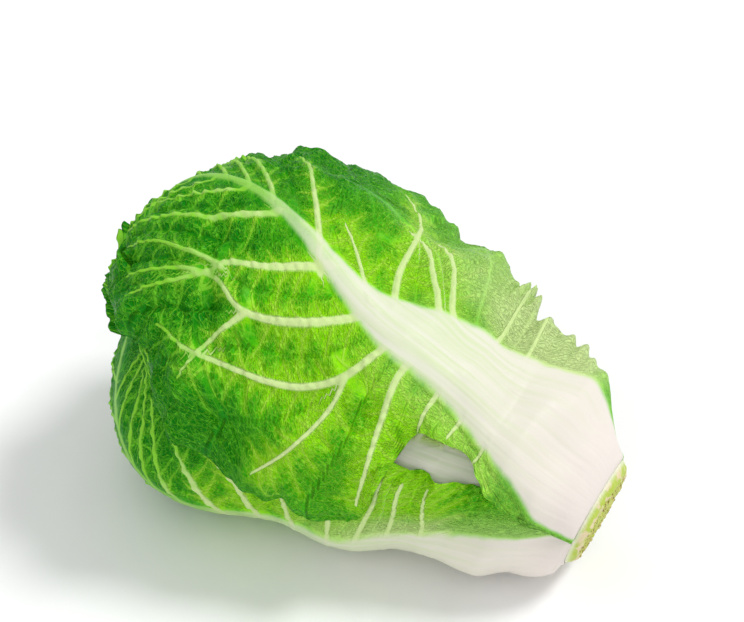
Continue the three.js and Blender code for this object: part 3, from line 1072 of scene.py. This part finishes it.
@dataclass
class Leaf:
    """One leaf with its rib, veins, wrinkles and frilled margins."""

    shape: HeadShape
    k: int
    rows: int
    cols: int
    tissue: bpy.types.Material
    veins: tuple[tuple[tuple[float, float], ...], ...] = ()
    skip: tuple[tuple[float, float, Side], ...] = ()
    creases: tuple[Crease, ...] = ()
    sag: float = 1.3
    swell: float = 1.8
    ladder: float = 0.7
    wrinkle: float = 0.55
    frill: float = 2.2
    ragged: float = 0.035
    ridge_scale: float = 1.0
    shade_near: float = 0.0
    shade_far: float = 1.0
    spacing: float = 17
    low_edge: Profile | None = None
    high_edge: Profile | None = None
    rib_white: float = 1.0
    pale_band: float = 0.0
    tip_dark: float = 0.55
    green_from: float = 150
    nose: float = 9
    begin: float = math.inf
    pale_near: float = 0.3
    heel: float = 0.0
    flare: float = 0.0

    def build(self) -> bpy.types.Object:
        """Returns:
            The finished piece.
        """
        form = self.shape.leaves[self.k]
        random = np.random.default_rng(100 + self.k)
        plan = VeinPlan(self.shape, self.k, random, self.veins, self.spacing, skip=self.skip)
        sides = plan.side_veins()
        fines = plan.branches(sides)
        outer, values, maps = self._face(self.rows + 1, self.cols + 1, sides, fines, True)
        half = (self.rows // 2 + 1, self.cols // 2 + 1)
        inner, inner_values, inner_maps = self._face(*half, sides, fines, False)
        name = f"{form.name}_leaf"
        mesh = Skin(outer, inner, values, inner_values, maps, inner_maps).build(name, self.tissue)
        return declared(name, mesh, form.name)

    def _face(
        self, rows: int, cols: int, sides: list[Vein], fines: list[Vein], outside: bool
    ) -> tuple[np.ndarray, dict[str, Grid], dict[str, np.ndarray]]:
        """Shape one face of the leaf.

        Args:
            rows: points along the leaf.
            cols: points across it.
            sides: the side veins.
            fines: the finer veins.
            outside: whether it is the face with the rib.

        Returns:
            Points, values for the material, and its UV maps in millimetres.
        """
        shape, k = self.shape, self.k
        form = shape.leaves[k]
        along, across = np.meshgrid(np.linspace(0, 1, rows), np.linspace(-1, 1, cols), indexing="ij")
        first = min(form.start, self.begin)
        start = first + (form.end - first) * along
        rim = np.abs(across)
        torn = 1.5 * ripple(start + 400 * (across > 0), 0 * start + 7.0 * k, 24, 3.1)
        torn = torn + 0.35 * ripple(start + 400 * (across > 0), 0 * start + 5.0 * k, 6.5, 8.7)
        lobes = self.ragged * (1 + 1.1 * smooth(start, 185, 245))
        stretched = across * (1 + lobes * torn * smooth(rim, 0.55, 1) * smooth(start, 30, 80))
        top = self.ragged * 90 * ripple(across * 60, across * 0, 14, 2.0 + k) * smooth(along, 0.85, 1) * smooth(rim, 0, 0.3)
        run, turn = shape.leaf_place(k, stretched, np.minimum(start + top, 330))
        x, y = shape.flat(k, run, turn)
        side = VeinField.measure(x, y, sides)
        fine = VeinField.measure(x, y, fines, 12.0)
        half = shape.rib_half(run) * form.rib_share * self.rib_white
        if self.low_edge and self.high_edge:
            half = np.where(x < 0, self.low_edge(run), self.high_edge(run))
        from_rib = np.maximum(np.abs(x) - half, 0)
        nearest = np.minimum(side.near, from_rib + 1.0)
        free = smooth(from_rib, 0, 14)
        far = smooth(from_rib, 6, 60)
        cells = cell_edges(side.along / 7.5, side.beside / 15, 0.5 + k)
        seam = smooth(side.second - side.near, 0, 5)
        rung = (1 - smooth(cells, 0.02, 0.25)) * seam * free * (1 - np.exp(-((side.near / 3.5) ** 2)))
        tough = 1 + 0.6 * smooth(run, 170, 240)
        sag = self.sag * tough * (1 - np.exp(-((nearest / 8) ** 2))) * free
        pillow = np.minimum(fine.near, 9) / 9
        small = self.sag * tough * (0.25 - 0.85 * pillow * (2 - pillow)) * free * smooth(side.near, 1.5, 5)
        broad = self.swell * (ripple(x, y, 34, 1.3 + k) + 0.5 * ripple(x, y, 14, 5.3 + k)) * far
        phase = ripple(start, across * 3, 26, 6.1 + k) * 2.6
        edge = smooth(rim, 0.6, 1) * smooth(start, 14, 60)
        beat = 0.9 * np.sin(start / 4.6 + 3 * phase + 2 * np.sign(across))
        beat = beat + 2.2 * ripple(start, across * 14, 11, 4.4 + k) + 0.4 * ripple(start, across * 10, 4.6, 9.1 + k)
        band = smooth(across, 0.28, 0.66) * smooth(start, 18, 45) * (1 - smooth(start, 75, 190)) * self.pale_band
        frill = self.frill * (1 + 0.8 * band + 1.6 * smooth(start, 190, 245)) * edge**1.5 * beat * np.where(across < 0, form.calm, 1)
        stand = self.flare * smooth(across, 0.45, 1) ** 1.5 * smooth(start, 6, 30) * (1 - smooth(start, 90, 170))
        wrinkle = self.wrinkle * tough * ripple(side.along, side.beside / 3, 3.0, 2.9 + k) * free * seam
        low = broad + frill + stand - sag - small + wrinkle + self._folds(x, y)
        strands = 0.12 * np.sin(x * 0.9 + 1.3 * ripple(x, y / 18, 3, 2.2)) * (1 - smooth(np.abs(x) / half, 0.75, 1.0))
        blade = shape.blade * (1 - 0.55 * smooth(rim, 0.93, 1))
        base = shape.inner_face(k, run, turn) + shape.margin(k, across, along)
        if outside:
            nose = np.clip((run - first + 0.5) / self.nose, 0, 1)
            fuller = 1 + self.heel * np.exp(-(((run - first - 6) / 14) ** 2))
            rib = self._rib(run, turn, x, half) * np.sqrt(1 - (1 - nose) ** 2) * fuller
            joined = 0.2 + 0.8 * smooth(from_rib, 0, 5)
            ridges = self.ridge_scale * (joined * (side.ridge + fine.ridge) + self.ladder * rung * tough**1.6) + strands
            tucked = smooth(run, first, first + 12)
            depth = base + blade + rib + low + ridges * tucked
        else:
            depth = base + low
        points = shape.lying(run, turn, depth)
        width = half if self.low_edge else half * np.interp(run, (0, 120, 200, 330), (1.02, 0.95, 0.8, 0.7))
        width = np.maximum(width + 0.8 * ripple(start, across, 7, 9.9), 0.9)
        soft = np.interp(run, (0, 60, 110, 180, 330), (1.6, 2.2, 3.0, 1.4, 0.8))
        pale = 1 - smooth((np.abs(x) - width) / soft, -1, 1)
        depth_of_green = smooth(from_rib + 0.9 * (run - 120), 25, 310) + self.tip_dark * smooth(run, 165, 250)
        # Painted shade: the green is made deeper in the sunken hollows between the veins, where the blade sags and
        # shade falls, and lighter close to the veins; only the paler green right by the veins is the leaf's own colour.
        vein_pale_and_painted_hollow_shade = 0.42 * (1 - np.exp(-((np.minimum(side.near, 30) / 8) ** 2))) - 0.36
        vein_pale_and_painted_hollow_shade = vein_pale_and_painted_hollow_shade + 0.38 * (1 - np.exp(-((np.minimum(fine.near, 12) / 2.6) ** 2)))
        shade = self.shade_near + (self.shade_far - self.shade_near) * depth_of_green + vein_pale_and_painted_hollow_shade
        far_out = smooth(run, self.green_from, self.green_from + 90)
        near_pale = self.pale_near * (1 - smooth(from_rib, 0, 26)) * (1 - smooth(run, 90, 160))
        values = {
            "rib": pale * (1 - 0.9 * far_out),
            "vein": np.maximum(np.maximum(0.95 * band, near_pale), 0.9 * pale * far_out),
            # The shade value holds the leaf's own depth of green together with the painted shade in the hollows between
            # veins.
            "shade": shade * (1 - 0.8 * band),
            "side_away": side.away,
            "side_half": np.where(side.near < 6, side.half_width, 0.01),
            "fine_away": fine.away,
            "fine_half": np.where(fine.near < 3, fine.half_width, 0.01),
            "open_blade": smooth(side.second - side.near, 0.5, 3) * smooth(from_rib, 0.5, 4),
        }
        maps = {"flat": np.stack([x, y], axis=-1), "beside": np.stack([side.along, side.beside], axis=-1)}
        return points, values, maps

    def _rib(self, run: Grid, turn: Grid, x: Grid, half: Grid) -> Grid:
        """Raise the midrib, to the leaf's own edges where it has them."""
        form = self.shape.leaves[self.k]
        if not self.low_edge:
            tucked = np.maximum(smooth(run, form.start - 5, form.start + 13), 0.02)
            return self.shape.rib_at(form, run, turn) / tucked
        off = np.minimum(np.abs(x) / (1.12 * half + 1.5), 1)
        return self.shape.rib_depth(run) * np.cos(off * math.pi / 2) ** 0.8

    def _folds(self, x: Grid, y: Grid) -> Grid:
        """Press the leaf's own creases into its blade."""
        total = np.zeros_like(x)
        for crease in self.creases:
            places = np.array(crease.places)
            run, turn = self.shape.leaf_place(self.k, places[:, 0], places[:, 1])
            line = np.stack(self.shape.flat(self.k, run, turn), axis=-1)
            found = VeinField.measure(x, y, [Vein(line, 1, 1, 0)])
            total -= crease.depth * np.exp(-((found.near / crease.width) ** 2))
        return total


@dataclass
class Heart:
    """The folded leaves in the middle, as one closed form with overlapping edges."""

    shape: HeadShape
    tissue: bpy.types.Material
    foot: float = 58.6
    top: float = 359.5
    clearance: float = 2.6
    folds: int = 5
    fold: float = 2.4
    lap: float = 0.05
    rows: int = 150
    sides: int = 160

    def build(self) -> bpy.types.Object:
        """Build the heart as rings that close at both ends."""
        shape = self.shape
        share = np.arange(self.sides) / self.sides
        along, around = np.meshgrid(np.linspace(0, 1, self.rows), share, indexing="ij")
        run = self.foot + (self.top - self.foot) * along
        turn = 360 * around
        step = (self.folds * around + run / 90) % 1
        overlap = np.maximum(step, 1 - step / self.lap)
        depth = shape.core(run) - self.clearance - self.fold * smooth(run, 70, 160) * overlap
        x = 40 * np.cos(turn * RAD)
        depth = depth + 0.4 * ripple(x + 40 * np.sin(turn * RAD), run, 9, 4.4) * smooth(run, 80, 140)
        points = shape.lying(run, turn, np.maximum(depth, 4))
        values = {
            "rib": (1 - smooth(run, 80, 190)) * 0.8,
            "vein": np.clip(1 - step * 8, 0, 1) * 0.6,
            "shade": smooth(run, 160, 340) * 0.6,
            "side_away": 90 + 0 * run,
            "side_half": 0.01 + 0 * run,
            "fine_away": 90 + 0 * run,
            "fine_half": 0.01 + 0 * run,
            "open_blade": smooth(run, 120, 200),
        }
        mesh = ringed_mesh("heart_leaves", points, values)
        flat = np.stack([(turn - 180) * 0.7, run], axis=-1).reshape(-1, 2)
        flat = np.concatenate([flat, [[0, 0], [0, 360]]])
        write_maps(mesh, {"flat": flat, "beside": flat})
        mesh.materials.append(self.tissue)
        return declared("heart_leaves", mesh, "heart")


@dataclass(frozen=True)
class StrandTissue:
    """End of a woody strand in the cut: dry, brown, and matt beside the moist flesh."""

    name: str = "strand_end_woody"
    brown: str = "#8a7a34"
    straw: str = "#d2c878"

    def build(self) -> bpy.types.Material:
        """Build the material on Object coordinates, in metres."""
        material, add = blank_material(self.name)
        place = add("ShaderNodeTexCoord").outputs["Object"]
        grain = add(CLOUDS, None, {"Vector": place, "Scale": 420.0, "Detail": 2.0}).outputs["Fac"]
        mixed = add(
            REMAP, None, {"Value": grain, "From Min": 0.4, "From Max": 0.6}
        ).outputs["Result"]
        colour = add(
            MIX, RGBA, {0: mixed, 6: linear(self.brown), 7: linear(self.straw)}
        ).outputs[2]
        surface = add(
            "ShaderNodeBsdfPrincipled", None, {"Base Color": colour, "Roughness": 0.7, "IOR": 1.45}
        ).outputs["BSDF"]
        add("ShaderNodeOutputMaterial", None, {"Surface": surface})
        return material


@dataclass
class StrandEnds:
    """Ends of the woody strands, scattered over the cut face of the stump by a node tree."""

    shape: HeadShape
    tissue: bpy.types.Material
    proud: float = 2.5
    inner_radius: float = 9
    outer_radius: float = 25
    apart: float = 2.3
    smallest: float = 0.5
    largest: float = 1.15
    flatness: float = 0.45
    seed: int = 11

    def build(self) -> bpy.types.Object:
        """Scatter the strand ends and turn them into a plain mesh."""
        sheet = self._sheet()
        modifier = sheet.modifiers.new("scatter", "NODES")
        modifier.node_group = self._tree()
        settings = {
            "Apart": self.apart * MM, "Smallest": self.smallest * MM, "Largest": self.largest * MM,
            "Flatness": self.flatness, "Seed": self.seed, "Finish": self.tissue,
        }
        for item in modifier.node_group.interface.items_tree:
            if item.name in settings:
                modifier[item.identifier] = settings[item.name]
        evaluated = sheet.evaluated_get(bpy.context.evaluated_depsgraph_get())
        mesh = bpy.data.meshes.new_from_object(evaluated)
        sheet.modifiers.remove(modifier)
        bpy.data.objects.remove(sheet)
        mesh.name = "stump_strand_ends"
        return declared("stump_strand_ends", mesh)

    def _sheet(self) -> bpy.types.Object:
        """Make the ring of the cut face that carries the strands."""
        radius = np.linspace(self.inner_radius, self.outer_radius, 14)
        turn = np.linspace(0, 360, 72, endpoint=False)
        depth, turns = np.meshgrid(radius, turn, indexing="ij")
        px, py = depth * np.cos(turns * RAD), depth * np.sin(turns * RAD)
        points = self.shape.lying(-self.proud + Stump._roughness(px, py), turns, depth).reshape(-1, 3) * MM
        quads = ring_quads(*depth.shape)
        corner = points[quads[0]]
        if np.cross(corner[1] - corner[0], corner[2] - corner[0])[0] < 0:
            quads = quads[:, ::-1]
        mesh = bpy.data.meshes.new("cut_face")
        mesh.from_pydata(points.tolist(), [], quads.tolist())
        sheet = bpy.data.objects.new("cut_face", mesh)
        bpy.context.scene.collection.objects.link(sheet)
        return sheet

    def _tree(self) -> bpy.types.NodeTree:
        """Build the node tree, with its sizes as named inputs.

        Returns:
            The tree, which ends in real geometry with its finish set.
        """
        tree = bpy.data.node_groups.new("strand_ends_on_cut", "GeometryNodeTree")
        sockets = (
            ("Face", "Geometry"), ("Apart", "Float"), ("Smallest", "Float"), ("Largest", "Float"),
            ("Flatness", "Float"), ("Seed", "Int"), ("Finish", "Material"),
        )
        for name, kind in sockets:
            tree.interface.new_socket(name, in_out="INPUT", socket_type=f"NodeSocket{kind}")
        tree.interface.new_socket("Strands", in_out="OUTPUT", socket_type="NodeSocketGeometry")
        add = partial(add_node, tree)
        given = add("NodeGroupInput").outputs
        scattered = add(
            "GeometryNodeDistributePointsOnFaces",
            {"distribute_method": "POISSON"},
            {"Mesh": given["Face"], "Distance Min": given["Apart"], "Density Max": 4e5, "Seed": given["Seed"]},
        ).outputs
        width = add(
            "FunctionNodeRandomValue",
            {"data_type": "FLOAT"},
            {2: given["Smallest"], 3: given["Largest"], "Seed": given["Seed"]},
        ).outputs[1]
        height = add(MATHS, {"operation": "MULTIPLY"}, {0: width, 1: given["Flatness"]}).outputs[0]
        size = add("ShaderNodeCombineXYZ", None, {0: width, 1: width, 2: height}).outputs[0]
        knob = add("GeometryNodeMeshIcoSphere", None, {"Radius": 1.0, "Subdivisions": 2}).outputs[0]
        placed = add(
            "GeometryNodeInstanceOnPoints",
            None,
            {"Points": scattered["Points"], "Instance": knob, "Rotation": scattered["Rotation"], "Scale": size},
        ).outputs[0]
        real = add("GeometryNodeRealizeInstances", None, {0: placed}).outputs[0]
        dressed = add("GeometryNodeSetMaterial", None, {"Geometry": real, "Material": given["Finish"]}).outputs[0]
        add("NodeGroupOutput", None, {0: dressed})
        return tree


@dataclass
class Stump:
    """The short core at the foot, cut square, with a rough cut face."""

    shape: HeadShape
    tissue: bpy.types.Material
    proud: float = 2.5
    end: float = 58
    clearance: float = 0.6
    cut_radius: float = 24
    sides: int = 180
    face_rings: int = 40
    side_rings: int = 24

    @staticmethod
    def _roughness(x: Grid, y: Grid) -> Grid:
        """Give the relief of the cut face at a place on it."""
        return 0.6 * ripple(x, y, 5, 1.1) + 0.4 * ripple(x, y, 1.8, 2.1)

    def build(self) -> bpy.types.Object:
        """Build the stump as rings from the middle of the cut to its inner end."""
        shape = self.shape
        radius = np.concatenate([
            np.linspace(0.5, self.cut_radius, self.face_rings),
            [26.2, 27.8, 29, 30, 30.8, 31],
        ])
        run = np.concatenate([
            np.full(self.face_rings, -self.proud),
            [-2.2, -1.3, -0.2, 0.8, 1.8, 2.6],
        ])
        body = np.linspace(4, self.end, self.side_rings)
        radius = np.concatenate([radius, shape.core(body) - self.clearance])
        run = np.concatenate([run, body])
        rows = len(run)
        runs = np.repeat(run[:, None], self.sides, axis=1)
        turns = np.repeat(360 * np.arange(self.sides)[None, :] / self.sides, rows, axis=0)
        depth = np.repeat(radius[:, None], self.sides, axis=1)
        px, py = depth * np.cos(turns * RAD), depth * np.sin(turns * RAD)
        on_face = runs < 0.5
        rough = self._roughness(px, py)
        lobes = 1.2 * np.sin(3 * turns * RAD + 1) + 0.8 * np.sin(5 * turns * RAD)
        depth = np.where(on_face & (depth > 20), depth + 0.4 * lobes * smooth(depth, 20, 26), depth)
        runs = runs + np.where(on_face, rough * (1 - smooth(depth, 29, 32)), 0)
        points = shape.lying(runs, turns, depth)
        values = {
            "cut": (1 - smooth(runs, -0.5, 3)) * np.ones_like(depth),
            "rim": smooth(depth + 1.5 * ripple(px, py, 6, 7.7), 21, 25) * (1 - smooth(runs, 2, 6)),
        }
        mesh = ringed_mesh("stump_core", points, values)
        mesh.materials.append(self.tissue)
        return declared("stump_core", mesh, "stump")


@dataclass
class Studio:
    """White paper floor, soft lights and the camera."""

    azimuth: float = 29.807
    elevation: float = 37.278
    distance: float = 0.91365
    target: tuple[float, float, float] = (-0.00022, 0.00003, 0.09697)
    aside: float = 0.0049
    above: float = 0.0287
    lens: float = 78.8

    def build(self) -> None:
        """Set up the floor, the lights and the camera."""
        self._floor()
        self._sun()
        self._light("fill_front", (0.45, -0.95, 0.75), (0.05, 0.0, 0.08), 0.6, 1.6)
        self._camera()
        world = bpy.data.worlds.new("studio_air")
        world.use_nodes = True
        world.node_tree.nodes["Background"].inputs["Color"].default_value = (1, 1, 1, 1)
        world.node_tree.nodes["Background"].inputs["Strength"].default_value = 0.7
        bpy.context.scene.world = world
        bpy.context.scene.view_settings.view_transform = "Standard"

    def _floor(self) -> None:
        """Lay the paper as one large sheet."""
        mesh = bpy.data.meshes.new("floor")
        corners = [(-12, -12, 0), (12, -12, 0), (12, 12, 0), (-12, 12, 0)]
        mesh.from_pydata(corners, [], [(0, 1, 2, 3)])
        mesh.materials.append(StudioPaper().build())
        floor = bpy.data.objects.new("floor", mesh)
        bpy.context.scene.collection.objects.link(floor)

    def _sun(self) -> None:
        """Light everything alike from behind and above, as a very large window does."""
        data = bpy.data.lights.new("window_light", "SUN")
        data.energy = 1.5
        data.angle = 15 * RAD
        light = bpy.data.objects.new("window_light", data)
        light.rotation_euler = Vector((0.5, 0.42, 1.0)).to_track_quat("Z", "Y").to_euler()
        bpy.context.scene.collection.objects.link(light)

    def _light(
        self, name: str, place: tuple[float, float, float], aim: tuple[float, float, float], size: float, power: float
    ) -> None:
        """Hang one square soft light.

        Args:
            name: its name.
            place: where it hangs.
            aim: the point it faces.
            size: length of its side.
            power: its power in watts.
        """
        data = bpy.data.lights.new(name, "AREA")
        data.size = size
        data.energy = power
        light = bpy.data.objects.new(name, data)
        light.location = place
        light.rotation_euler = (Vector(aim) - Vector(place)).to_track_quat("-Z", "Y").to_euler()
        bpy.context.scene.collection.objects.link(light)

    def _camera(self) -> None:
        """Place the camera where the picture was taken from."""
        az, el = self.azimuth * RAD, self.elevation * RAD
        back = Vector((math.sin(az) * math.cos(el), -math.cos(az) * math.cos(el), math.sin(el)))
        right = Vector((math.cos(az), math.sin(az), 0))
        up = back.cross(right)
        data = bpy.data.cameras.new("camera")
        data.lens = self.lens
        data.sensor_width = 36
        camera = bpy.data.objects.new("camera", data)
        place = Vector(self.target) + right * self.aside + up * self.above + back * self.distance
        turn = Matrix((right, up, back)).transposed().to_4x4()
        camera.matrix_world = Matrix.Translation(place) @ turn
        bpy.context.scene.collection.objects.link(camera)
        bpy.context.scene.camera = camera


UPPER_VEINS = (
    ((-0.04, 112), (-0.16, 119), (-0.41, 119), (-0.65, 118), (-0.88, 121)),
    ((-0.02, 124), (-0.09, 131), (-0.28, 141), (-0.42, 153), (-0.50, 164), (-0.57, 175), (-0.70, 190), (-0.82, 201)),
    ((-0.01, 144), (-0.07, 151), (-0.23, 165), (-0.39, 182), (-0.43, 195), (-0.53, 212), (-0.66, 226)),
    ((-0.01, 174), (-0.07, 180), (-0.22, 190), (-0.38, 201), (-0.55, 206), (-0.74, 216)),
    ((-0.02, 212), (-0.11, 217), (-0.23, 227), (-0.27, 235), (-0.36, 249), (-0.44, 262)),
    ((-0.40, 200), (-0.42, 214), (-0.43, 227), (-0.50, 241)),
    ((-0.28, 141), (-0.46, 142), (-0.64, 147), (-0.86, 156)),
    ((-0.39, 182), (-0.58, 184), (-0.76, 183)),
    ((-0.01, 236), (-0.10, 243), (-0.20, 254), (-0.26, 266)),
    ((-0.06, 176), (-0.04, 180), (0.03, 187), (0.22, 196), (0.37, 201), (0.56, 208)),
    ((0.01, 150), (0.05, 155), (0.13, 166), (0.21, 178)),
    ((0.08, 139), (0.18, 145), (0.29, 149), (0.48, 152), (0.71, 158), (0.79, 167)),
    ((0.24, 122), (0.32, 129), (0.39, 137), (0.47, 146), (0.47, 155)),
    ((0.28, 114), (0.35, 121), (0.44, 128), (0.51, 135), (0.55, 145)),
)

UPPER_LOW_EDGE = Profile(
    ((0, 34), (19, 31), (41, 22.5), (69, 19), (87, 15.5), (102, 13.5), (126, 12), (151, 8.5), (184, 5.5), (235, 3), (330, 1))
)
UPPER_HIGH_EDGE = Profile(
    ((0, 34), (20, 36), (42, 37), (77, 38), (99, 33), (116, 25), (127, 19), (151, 9), (184, 4.5), (235, 2.6), (330, 1))
)

UPPER_CREASES = (Crease(((-0.23, 222), (-0.39, 208), (-0.51, 194), (-0.59, 181)), 3.0, 5.0),)


@dataclass
class Cabbage:
    """The whole head."""

    shape: HeadShape = field(default_factory=HeadShape)

    def build(self) -> list[bpy.types.Object]:
        """Build every piece from the outside in.

        Returns:
            The pieces.
        """
        outer = OUTER_TISSUE.build()
        inner = INNER_TISSUE.build()
        coarse = 1
        leaves = [
            Leaf(
                self.shape, 0, 280 // coarse, 260 // coarse, outer, UPPER_VEINS,
                ((100, 250, Side.LOW), (100, 215, Side.HIGH)), UPPER_CREASES, sag=2.8, frill=1.5, ragged=0.06,
                low_edge=UPPER_LOW_EDGE, high_edge=UPPER_HIGH_EDGE, pale_band=1.0,
                heel=0.2, flare=12, begin=2.5,
            ),
            Leaf(
                self.shape, 1, 248 // coarse, 228 // coarse, outer, shade_far=1.1, sag=1.9, swell=1.2, begin=2.5,
                rib_white=1.15, tip_dark=1.2, green_from=105, ridge_scale=0.75, heel=0.05, pale_near=0.8,
            ),
            Leaf(self.shape, 2, 220 // coarse, 200 // coarse, outer, sag=2.0, begin=2.5, heel=0.25),
            Leaf(self.shape, 3, 200 // coarse, 180 // coarse, inner, sag=0.8, swell=0.8, frill=1.4),
        ]
        for k in range(4, self.shape.leaf_count):
            leaves.append(
                Leaf(
                    self.shape, k, 128 // coarse, 108 // coarse, inner,
                    sag=0.6, swell=0.5, frill=1.0, spacing=20, ridge_scale=0.8,
                )
            )
        builders: list[Callable[[], bpy.types.Object]] = [leaf.build for leaf in leaves]
        builders += [
            Heart(self.shape, inner).build,
            Stump(self.shape, CutTissue().build()).build,
            StrandEnds(self.shape, StrandTissue().build()).build,
        ]
        made = []
        for builder in builders:
            piece = builder()
            LOG.info("%s: %d faces", piece.name, len(piece.data.polygons))
            made.append(piece)
        return made


def main() -> None:
    """Build the head and the studio."""
    logging.basicConfig(level=logging.INFO, format="%(message)s")
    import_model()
    Studio().build()
    Cabbage().build()


if __name__ == "__main__":
    main()
